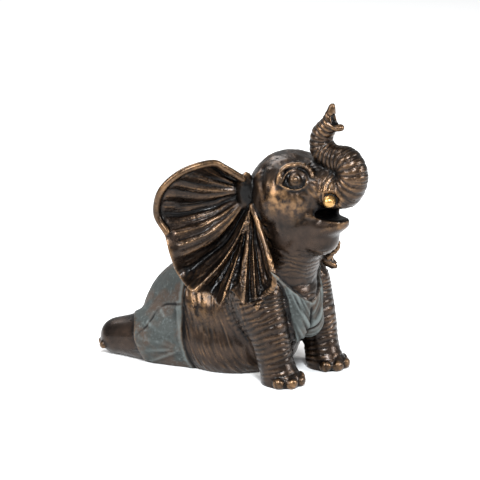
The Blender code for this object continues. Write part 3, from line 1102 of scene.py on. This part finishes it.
@dataclass
class Casting:
    """The whole figurine as one fine mesh that replaces its solid.

    The rows of patina_and_shade_steps and crest_steps are strength, start and rise. Each is for a point's
    depth in mm under the averaged skin, or its height over it, after as many mask_rounds. The hollow steps
    darken the recesses, both as dark patina and as painted shade. The rub on the iris is the half width and
    the radius of a bright ring.
    """

    name: str = "elephant_cast"
    body: Body = Body()
    head: Head = Head()
    clothes: Clothes = Clothes()
    ears: tuple[Ear, ...] = (Ear(Side.RIGHT), Ear(Side.LEFT, tilt=20.0, size=0.85))
    mass_cell: float = 0.95
    fine_cell: float = 0.5
    soften_rounds: int = 3
    triangles: int = 196000
    ease_rounds: int = 45
    eased_behind: Row = (-14, 10)
    eased_below: Row = (112, -8)
    eased_off_arm: Row = (1.0, 0.15)
    arm_ease: float = 0.25
    wander: Grain = Grain(3, 5.0, fine_size=2.2, fine_share=0.5)
    mask_rounds: tuple[int, ...] = (12, 50, 180)
    # Darkening by depth under the averaged skin: dark patina and painted shade in the recesses.
    patina_and_shade_steps: tuple[Row, ...] = ((0.6, 0.01, 0.16), (0.5, 0.05, 0.6), (0.4, 0.5, 1.6))
    crest_steps: tuple[Row, ...] = ((0.7, 0.05, 0.16), (0.6, 0.25, 0.6))
    # A patch of painted shade under the ear's root, added to the hollow mask: middle, radii and width.
    shade_under_ear: Row = (-21, 21, 94)
    shade_under_ear_radii: Row = (1, 1, 1.6)
    shade_under_ear_width: float = 4.2
    iris_rub: Row = (0.6, 1.5)
    iris_rub_strength: float = 0.7
    # The mouth's inside is darkened: dark patina and painted shade in the recess.
    mouth_wall: float = 0.9
    mouth_edge: Row = (1.06, -0.1)
    mouth_bottom: float = 83
    gold_gap: float = 0.35
    gold_edge: float = -0.3
    masks: dict[Mask, np.ndarray] = field(default_factory=dict)

    def build(self) -> bpy.types.Object:
        """Models, carves and thins the casting.

        Returns:
            The piece.
        """
        mass = Forms()
        self.body.add_mass(mass)
        self.head.add_mass(mass)
        rounded = mass.fused(self.mass_cell)
        self.ease_joints(rounded)
        mass.shapes.append(rounded)
        details = Forms()
        details.shapes.append(mass.fused(self.mass_cell, cutter=self.head.cavities()))
        self.body.add_nails(details)
        self.head.add_features(details)
        for ear in self.ears:
            ear.add(details)
        skin = details.fused(self.fine_cell, soften=self.soften_rounds)
        points, normals = self.points_of(skin)
        points += normals * self.relief(points)[:, None]
        self.move(skin, points)
        self.read_masks(skin)
        tree = KDTree(len(points))
        for k, point in enumerate(points):
            tree.insert(point, k)
        tree.balance()
        skin = self.thinned(skin)
        self.stand(skin)
        self.write_masks(skin, tree)
        self.fit(skin)
        skin.shade_smooth()
        piece = bpy.data.objects.new(self.name, skin)
        bpy.context.scene.collection.objects.link(piece)
        return piece

    @staticmethod
    def points_of(skin: bpy.types.Mesh) -> tuple[np.ndarray, np.ndarray]:
        """Reads a mesh.

        Args:
            skin: The mesh.

        Returns:
            Its points and its vertex normals.
        """
        points = np.empty(len(skin.vertices) * 3, np.float32)
        skin.vertices.foreach_get("co", points)
        normals = np.empty(len(skin.vertices) * 3, np.float32)
        skin.vertex_normals.foreach_get("vector", normals)
        return points.reshape(-1, 3).astype(float), normals.reshape(-1, 3).astype(float)

    @staticmethod
    def move(skin: bpy.types.Mesh, points: np.ndarray) -> None:
        """Moves a mesh's vertices.

        Args:
            skin: The mesh, which is changed.
            points: Their new places.
        """
        skin.vertices.foreach_set("co", points.astype(np.float32).ravel())
        skin.update()

    @staticmethod
    def averager(skin: bpy.types.Mesh) -> Callable[[np.ndarray], np.ndarray]:
        """Prepares averaging over a mesh's neighbours.

        Args:
            skin: The mesh.

        Returns:
            A function that moves each vertex's value halfway to its neighbours' mean.
        """
        pairs = np.empty(len(skin.edges) * 2, np.int32)
        skin.edges.foreach_get("vertices", pairs)
        pairs = pairs.reshape(-1, 2)
        ends = np.concatenate([pairs[:, 0], pairs[:, 1]])
        starts = np.concatenate([pairs[:, 1], pairs[:, 0]])
        count = np.maximum(np.bincount(ends, minlength=len(skin.vertices)), 1)

        def averaged(values: np.ndarray) -> np.ndarray:
            """Averages one column of values."""
            total = np.bincount(ends, weights=values[starts], minlength=len(values))
            return 0.5 * values + 0.5 * total / count

        return averaged

    def ease_joints(self, skin: bpy.types.Mesh) -> None:
        """Rounds the joints between the large forms, and leaves trunk and mouth crisp.

        Args:
            skin: The mesh, which is changed.
        """
        points, _ = self.points_of(skin)
        near = self.nearside(points)
        averaged = self.averager(skin)
        bulk = eased(near[:, 1], *self.eased_behind) * eased(near[:, 2], *self.eased_below)
        arm, _ = Curve(FORELEG).share(near)
        bulk *= self.arm_ease + (1 - self.arm_ease) * eased(arm, *self.eased_off_arm)
        for _ in range(self.ease_rounds):
            eased_points = np.stack([averaged(points[:, axis]) for axis in range(3)], axis=1)
            points += (eased_points - points) * bulk[:, None]
        self.move(skin, points)

    @staticmethod
    def nearside(points: np.ndarray) -> np.ndarray:
        """Folds both sides onto the right one.

        Args:
            points: The skin's points.

        Returns:
            The same points with x no higher than 0.
        """
        near = points.copy()
        near[:, 0] = -np.abs(near[:, 0])
        return near

    def relief(self, points: np.ndarray) -> np.ndarray:
        """Adds up all the carving.

        Args:
            points: The skin's points.

        Returns:
            How far each point moves along its normal.
        """
        near = self.nearside(points)
        cloth = self.clothes.cover(near)
        wander = self.wander.at(near)
        move = self.head.face(near) + self.head.ringed(near, wander) + self.head.streaked(near)
        move += self.body.creases(near, cloth, wander) + self.body.streaked(near, cloth)
        move += self.clothes.draped(near, cloth)
        for ear in self.ears:
            move += ear.lined(points)
        return move

    def thinned(self, skin: bpy.types.Mesh) -> bpy.types.Mesh:
        """Brings the mesh under its number of triangles.

        Args:
            skin: The carved mesh.

        Returns:
            The thinner mesh.
        """
        rough = bpy.data.objects.new("fine", skin)
        bpy.context.scene.collection.objects.link(rough)
        thin = rough.modifiers.new("Thin out", "DECIMATE")
        thin.ratio = min(1.0, self.triangles / (2 * len(skin.polygons)))
        mesh = bpy.data.meshes.new_from_object(rough.evaluated_get(bpy.context.evaluated_depsgraph_get()))
        bpy.data.objects.remove(rough)
        mesh.name = self.name
        return mesh

    @staticmethod
    def stand(skin: bpy.types.Mesh) -> None:
        """Cuts the casting flat where it stands.

        Args:
            skin: The mesh, which is changed.
        """
        body = bmesh.new()
        body.from_mesh(skin)
        everything = body.verts[:] + body.edges[:] + body.faces[:]
        up = (0, 0, 1)
        table = (0, 0, 0)
        cut = bmesh.ops.bisect_plane(body, geom=everything, plane_co=table, plane_no=up, clear_inner=True)
        rims = [item for item in cut["geom_cut"] if isinstance(item, bmesh.types.BMEdge)]
        bmesh.ops.holes_fill(body, edges=rims)
        bmesh.ops.triangulate(body, faces=body.faces[:])
        body.to_mesh(skin)
        body.free()

    def read_masks(self, skin: bpy.types.Mesh) -> None:
        """Finds cloth, crests, hollows and rubbed places on the fine skin; the hollows are dark patina and
        painted shade.

        Args:
            skin: The carved skin, in mm.
        """
        points, normals = self.points_of(skin)
        near = self.nearside(points)
        averaged = self.averager(skin)
        smooth = points.copy()
        depths = []
        for turn in range(1, self.mask_rounds[-1] + 1):
            smooth = np.stack([averaged(smooth[:, axis]) for axis in range(3)], axis=1)
            if turn in self.mask_rounds:
                depths.append(((smooth - points) * normals).sum(axis=1))
        # Painted shade under the ear's root starts the hollow mask.
        hollow = hump(apart(near, self.shade_under_ear, self.shade_under_ear_radii), self.shade_under_ear_width)
        # Deeper recesses get darker: dark patina, and painted shade in place of the shade that falls there.
        for depth, (strength, start, rise) in zip(depths, self.patina_and_shade_steps):
            hollow += strength * ramp(depth, start, rise)
        crest = np.zeros(len(near))
        for depth, (strength, start, rise) in zip(depths, self.crest_steps):
            crest += strength * ramp(-depth, start, rise)
        rubbed = self.iris_rub_strength * hump(apart(near, IRIS), *self.iris_rub)
        for place, width, strength in RUBBED_PLACES:
            rubbed += strength * hump(apart(near, place), width)
        # The inside of the mouth is darkened as well: dark patina and painted shade in the recess.
        inside = apart(near, MOUTH[0], np.array(MOUTH[1]) + self.mouth_wall)
        mouth = eased(inside, *self.mouth_edge) * (near[:, 2] > self.mouth_bottom)
        self.masks = {
            Mask.CLOTH: self.clothes.cover(near),
            Mask.PATINA_AND_SHADE: averaged(np.maximum(np.clip(hollow, 0, 1), mouth)),
            Mask.CREST: averaged(np.clip(crest, 0, 1)),
            Mask.GOLD: eased(apart(near, TUSK), TUSK_RADIUS + self.gold_gap, self.gold_edge),
            Mask.RUB: np.clip(rubbed, 0, 1),
        }

    def write_masks(self, skin: bpy.types.Mesh, tree: KDTree) -> None:
        """Writes the masks on the finished mesh, each vertex from the fine skin's nearest.

        Args:
            skin: The finished mesh.
            tree: The fine skin's points.
        """
        points, _ = self.points_of(skin)
        nearest = np.array([tree.find(point)[1] for point in points])
        for mask, values in self.masks.items():
            layer = skin.attributes.new(mask.value, "FLOAT", "POINT")
            layer.data.foreach_set("value", values[nearest].astype(np.float32))

    def fit(self, skin: bpy.types.Mesh) -> None:
        """Sets the mesh from millimetres into the solid's box.

        Args:
            skin: The mesh, which is changed.
        """
        points, _ = self.points_of(skin)
        low, high = points.min(axis=0), points.max(axis=0)
        box_low, box_high = (np.array(corner) for corner in CAD_BOX)
        scale = (box_high - box_low) / (high - low)
        LOG.info("fit to the solid's box: %s", (scale / MM).round(4))
        self.move(skin, (points - low) * scale + box_low)


@dataclass(frozen=True)
class Pattern:
    """A noise over the object's own coordinates, and the range that is read from it."""

    scale: float
    detail: float
    ends: Row
    to: Row = (0, 1)


@dataclass
class Nodes:
    """A material's nodes, and short ways to add to them."""

    tree: bpy.types.NodeTree
    noises: dict[Row, bpy.types.NodeSocket] = field(default_factory=dict)

    def noise(self, scale: float, detail: float) -> bpy.types.NodeSocket:
        """Adds a noise over the object's own coordinates, once for each scale.

        Args:
            scale: Lumps to the metre.
            detail: Octaves of finer lumps.

        Returns:
            Its value.
        """
        if (scale, detail) not in self.noises:
            place = self.tree.nodes.new("ShaderNodeTexCoord")
            node = self.tree.nodes.new("ShaderNodeTexNoise")
            node.inputs["Scale"].default_value = scale
            node.inputs["Detail"].default_value = detail
            node.inputs["Roughness"].default_value = 0.6
            self.tree.links.new(place.outputs["Object"], node.inputs["Vector"])
            self.noises[(scale, detail)] = node.outputs["Fac"]
        return self.noises[(scale, detail)]

    def ranged(self, value: bpy.types.NodeSocket, ends: Row, to: Row = (0, 1)) -> bpy.types.NodeSocket:
        """Maps a value's range to another.

        Args:
            value: The value.
            ends: Its lowest and highest.
            to: What they become.

        Returns:
            The mapped value.
        """
        node = self.tree.nodes.new("ShaderNodeMapRange")
        for name, number in zip(("From Min", "From Max", "To Min", "To Max"), (*ends, *to)):
            node.inputs[name].default_value = number
        self.tree.links.new(value, node.inputs["Value"])
        return node.outputs["Result"]

    def read(self, pattern: Pattern) -> bpy.types.NodeSocket:
        """Reads a pattern.

        Args:
            pattern: The pattern.

        Returns:
            Its value.
        """
        return self.ranged(self.noise(pattern.scale, pattern.detail), pattern.ends, pattern.to)

    def joined(
        self,
        first: bpy.types.NodeSocket,
        second: bpy.types.NodeSocket | float,
        how: Join = Join.PRODUCT,
    ) -> bpy.types.NodeSocket:
        """Joins two values, and holds the result from 0 to 1.

        Args:
            first: One value.
            second: The other value, or a number.
            how: The way to join them.

        Returns:
            The joined value.
        """
        node = self.tree.nodes.new("ShaderNodeMath")
        node.operation = how.value
        node.use_clamp = True
        self.tree.links.new(first, node.inputs[0])
        if isinstance(second, float):
            node.inputs[1].default_value = second
        else:
            self.tree.links.new(second, node.inputs[1])
        return node.outputs["Value"]

    def mixed(
        self,
        first: bpy.types.NodeSocket | Row,
        second: bpy.types.NodeSocket | Row,
        share: bpy.types.NodeSocket,
    ) -> bpy.types.NodeSocket:
        """Mixes two colours.

        Args:
            first: The colour at a share of 0.
            second: The colour at a share of 1.
            share: The share of the second colour.

        Returns:
            The mixed colour.
        """
        node = self.tree.nodes.new("ShaderNodeMix")
        node.data_type = "RGBA"
        self.tree.links.new(share, node.inputs[0])
        for slot, colour in ((6, first), (7, second)):
            if isinstance(colour, tuple):
                node.inputs[slot].default_value = colour
            else:
                self.tree.links.new(colour, node.inputs[slot])
        return node.outputs[2]

    def mask(self, kind: Mask) -> bpy.types.NodeSocket:
        """Reads one of the casting's masks.

        Args:
            kind: The mask.

        Returns:
            Its value.
        """
        node = self.tree.nodes.new("ShaderNodeAttribute")
        node.attribute_name = kind.value
        return node.outputs["Fac"]


@dataclass(frozen=True)
class BronzeFinish:
    """Dark bronze with rubbed gold crests, black hollows of patina and painted shade, and grey-green cloth.
    """

    dark: Row = (0.012, 0.008, 0.006, 1)
    brown: Row = (0.042, 0.026, 0.018, 1)
    # Near-black of the hollows: dark patina and painted shade.
    hollow: Row = (0.003, 0.0025, 0.0025, 1)
    rubbed: Row = (0.27, 0.15, 0.068, 1)
    gold: Row = (0.45, 0.26, 0.09, 1)
    cloth: Row = (0.031, 0.036, 0.034, 1)
    cloth_worn: Row = (0.046, 0.031, 0.022, 1)
    cloth_lit: Row = (0.115, 0.134, 0.131, 1)
    browning: Pattern = Pattern(90, 5, (0.35, 0.68))
    speckled_wear: Pattern = Pattern(900, 4, (0.3, 0.7), (0.35, 1.0))
    patchy_wear: Pattern = Pattern(90, 5, (0.4, 0.62), (0.3, 1.0))
    rubbing: Pattern = Pattern(260, 5, (0.42, 0.62))
    cloth_wear: Pattern = Pattern(75, 6, (0.44, 0.58))
    dust: Pattern = Pattern(650, 5, (0.52, 0.66), (0.0, 0.5))
    patchy_dust: Pattern = Pattern(90, 5, (0.35, 0.6))
    # Patches in which the hollows' patina and painted shade are stronger.
    patchy_patina_and_shade: Pattern = Pattern(90, 5, (0.2, 0.6), (1.0, 1.5))
    roughness: Pattern = Pattern(140, 6, (0.3, 0.7), (0.22, 0.38))
    grit: Row = (1500, 6)
    patchy_grit: Pattern = Pattern(420, 5, (0.2, 0.8), (0.4, 1.0))
    grit_strength: float = 0.35
    grit_height: float = 0.0004
    crest_light: float = 0.8
    cloth_roughness: float = 0.3
    patina_and_shade_roughness: float = 0.2
    metallic: float = 0.88
    cloth_metallic: float = 0.15
    specular: float = 0.3
    coat: float = 0.22
    coat_roughness: float = 0.2

    def made(self) -> bpy.types.Material:
        """Makes the material.

        Returns:
            The material.
        """
        finish = bpy.data.materials.new("bronze with patina and painted shade")
        finish.use_nodes = True
        tree = finish.node_tree
        surface = tree.nodes["Principled BSDF"]
        nodes = Nodes(tree)
        tree.links.new(self.colour(nodes), surface.inputs["Base Color"])
        # The hollow mask is dark patina and painted shade; here it also sets roughness.
        cloth, hollow = nodes.mask(Mask.CLOTH), nodes.mask(Mask.PATINA_AND_SHADE)
        rough = nodes.joined(nodes.read(self.roughness), nodes.joined(cloth, self.cloth_roughness), Join.SUM)
        rough = nodes.joined(rough, nodes.joined(hollow, self.patina_and_shade_roughness), Join.SUM)
        tree.links.new(rough, surface.inputs["Roughness"])
        metal = nodes.ranged(cloth, (0, 1), (self.metallic, self.cloth_metallic))
        tree.links.new(metal, surface.inputs["Metallic"])
        tree.links.new(nodes.ranged(cloth, (0, 1), (self.coat, 0.0)), surface.inputs["Coat Weight"])
        surface.inputs["Coat Roughness"].default_value = self.coat_roughness
        surface.inputs["Specular IOR Level"].default_value = self.specular
        bump = tree.nodes.new("ShaderNodeBump")
        bump.inputs["Strength"].default_value = self.grit_strength
        bump.inputs["Distance"].default_value = self.grit_height
        grit = nodes.joined(nodes.noise(*self.grit), nodes.read(self.patchy_grit))
        tree.links.new(grit, bump.inputs["Height"])
        tree.links.new(bump.outputs["Normal"], surface.inputs["Normal"])
        return finish

    def colour(self, nodes: Nodes) -> bpy.types.NodeSocket:
        """Mixes the colours of skin, cloth, hollows and tusk stubs; the hollows are dark patina and painted
        shade.

        Args:
            nodes: Where the nodes go.

        Returns:
            The colour.
        """
        crest = nodes.mask(Mask.CREST)
        wear = nodes.joined(nodes.read(self.speckled_wear), crest)
        wear = nodes.joined(wear, nodes.read(self.patchy_wear))
        rub = nodes.joined(nodes.mask(Mask.RUB), nodes.read(self.rubbing))
        skin = nodes.mixed(self.dark, self.brown, nodes.read(self.browning))
        skin = nodes.mixed(skin, self.rubbed, wear)
        skin = nodes.mixed(skin, self.rubbed, rub)
        green = nodes.mixed(self.cloth, self.cloth_worn, nodes.read(self.cloth_wear))
        green = nodes.mixed(green, self.cloth_lit, nodes.joined(crest, self.crest_light))
        dust = nodes.joined(nodes.read(self.dust), nodes.read(self.patchy_dust))
        green = nodes.mixed(green, self.cloth_lit, dust)
        colour = nodes.mixed(skin, green, nodes.mask(Mask.CLOTH))
        # Hollows darken to near-black: dark patina and painted shade in the recesses.
        deep = nodes.joined(nodes.mask(Mask.PATINA_AND_SHADE), nodes.read(self.patchy_patina_and_shade))
        colour = nodes.mixed(colour, self.hollow, deep)
        return nodes.mixed(colour, self.gold, nodes.mask(Mask.GOLD))


@dataclass(frozen=True)
class Light:
    """A soft area light that looks at the figurine."""

    place: Row
    power: float
    size: float
    colour: Row = (1, 1, 1)

    def add(self, aim: Vector) -> None:
        """Adds the light.

        Args:
            aim: The point that it looks at.
        """
        lamp = bpy.data.lights.new("softbox", "AREA")
        lamp.energy = self.power
        lamp.size = self.size
        lamp.color = self.colour
        holder = bpy.data.objects.new("softbox", lamp)
        holder.location = self.place
        holder.rotation_euler = (aim - Vector(self.place)).to_track_quat("-Z", "Y").to_euler()
        bpy.context.scene.collection.objects.link(holder)


@dataclass(frozen=True)
class Studio:
    """A pale floor, soft lights and the camera at the photo's viewing angle."""

    azimuth: float = -50.0
    elevation: float = 16.0
    distance: float = 1.4
    lens: float = 210.0
    sensor: float = 36.0
    sight: float = 50.0
    aim: Row = (0.0032, 0.0071, 0.0618)
    floor_size: float = 6.0
    floor_drop: float = 0.00005
    paper: Row = (0.9, 0.9, 0.9, 1)
    paper_roughness: float = 0.9
    sky: Row = (1, 1, 1, 1)
    sky_strength: float = 0.4
    lights: tuple[Light, ...] = (
        Light((-0.55, -0.6, 0.85), 17.0, 0.28, (0.93, 0.97, 1.0)),
        Light((0.45, -0.85, 0.45), 8.0, 0.35, (1.0, 0.99, 0.97)),
        Light((-0.95, 0.25, 0.6), 9.0, 0.4),
        Light((0.1, 0.6, 0.9), 9.0, 0.6),
    )

    def add(self) -> None:
        """Adds the floor, the lights, the world and the camera."""
        self.add_floor()
        self.add_world()
        for light in self.lights:
            light.add(Vector(self.aim))
        self.add_camera()
        bpy.context.scene.view_settings.view_transform = "Standard"

    def add_floor(self) -> None:
        """Adds the floor."""
        sheet = bmesh.new()
        bmesh.ops.create_grid(sheet, x_segments=1, y_segments=1, size=self.floor_size)
        mesh = bpy.data.meshes.new("floor")
        sheet.to_mesh(mesh)
        sheet.free()
        floor = bpy.data.objects.new("floor", mesh)
        floor.location = (0, 0, -self.floor_drop)
        bpy.context.scene.collection.objects.link(floor)
        paper = bpy.data.materials.new("pale floor")
        paper.use_nodes = True
        surface = paper.node_tree.nodes["Principled BSDF"]
        surface.inputs["Base Color"].default_value = self.paper
        surface.inputs["Roughness"].default_value = self.paper_roughness
        mesh.materials.append(paper)

    def add_world(self) -> None:
        """Adds the world's even light."""
        world = bpy.data.worlds.new("studio")
        bpy.context.scene.world = world
        world.use_nodes = True
        sky = world.node_tree.nodes["Background"]
        sky.inputs["Color"].default_value = self.sky
        sky.inputs["Strength"].default_value = self.sky_strength

    def add_camera(self) -> None:
        """Adds the camera, which looks at the figurine from its right front."""
        turn, rise = math.radians(self.azimuth), math.radians(self.elevation)
        back = Vector((math.sin(turn) * math.cos(rise), -math.cos(turn) * math.cos(rise), math.sin(rise)))
        camera = bpy.data.cameras.new("camera")
        camera.lens = self.lens
        camera.sensor_width = self.sensor
        camera.clip_end = self.sight
        holder = bpy.data.objects.new("camera", camera)
        holder.location = Vector(self.aim) + back * self.distance
        holder.rotation_euler = (-back).to_track_quat("-Z", "Y").to_euler()
        bpy.context.scene.collection.objects.link(holder)
        bpy.context.scene.camera = holder


def main() -> None:
    """Builds the casting, gives it its finish, and sets the studio."""
    piece = Casting().build()
    piece.data.materials.append(BronzeFinish().made())
    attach(piece, BODY)
    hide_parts(NODE)
    LOG.info("%s: %d triangles", piece.name, len(piece.data.polygons))
    Studio().add()
    LOG.info("studio: floor, lights and camera")
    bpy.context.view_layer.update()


if __name__ == "__main__":
    main()
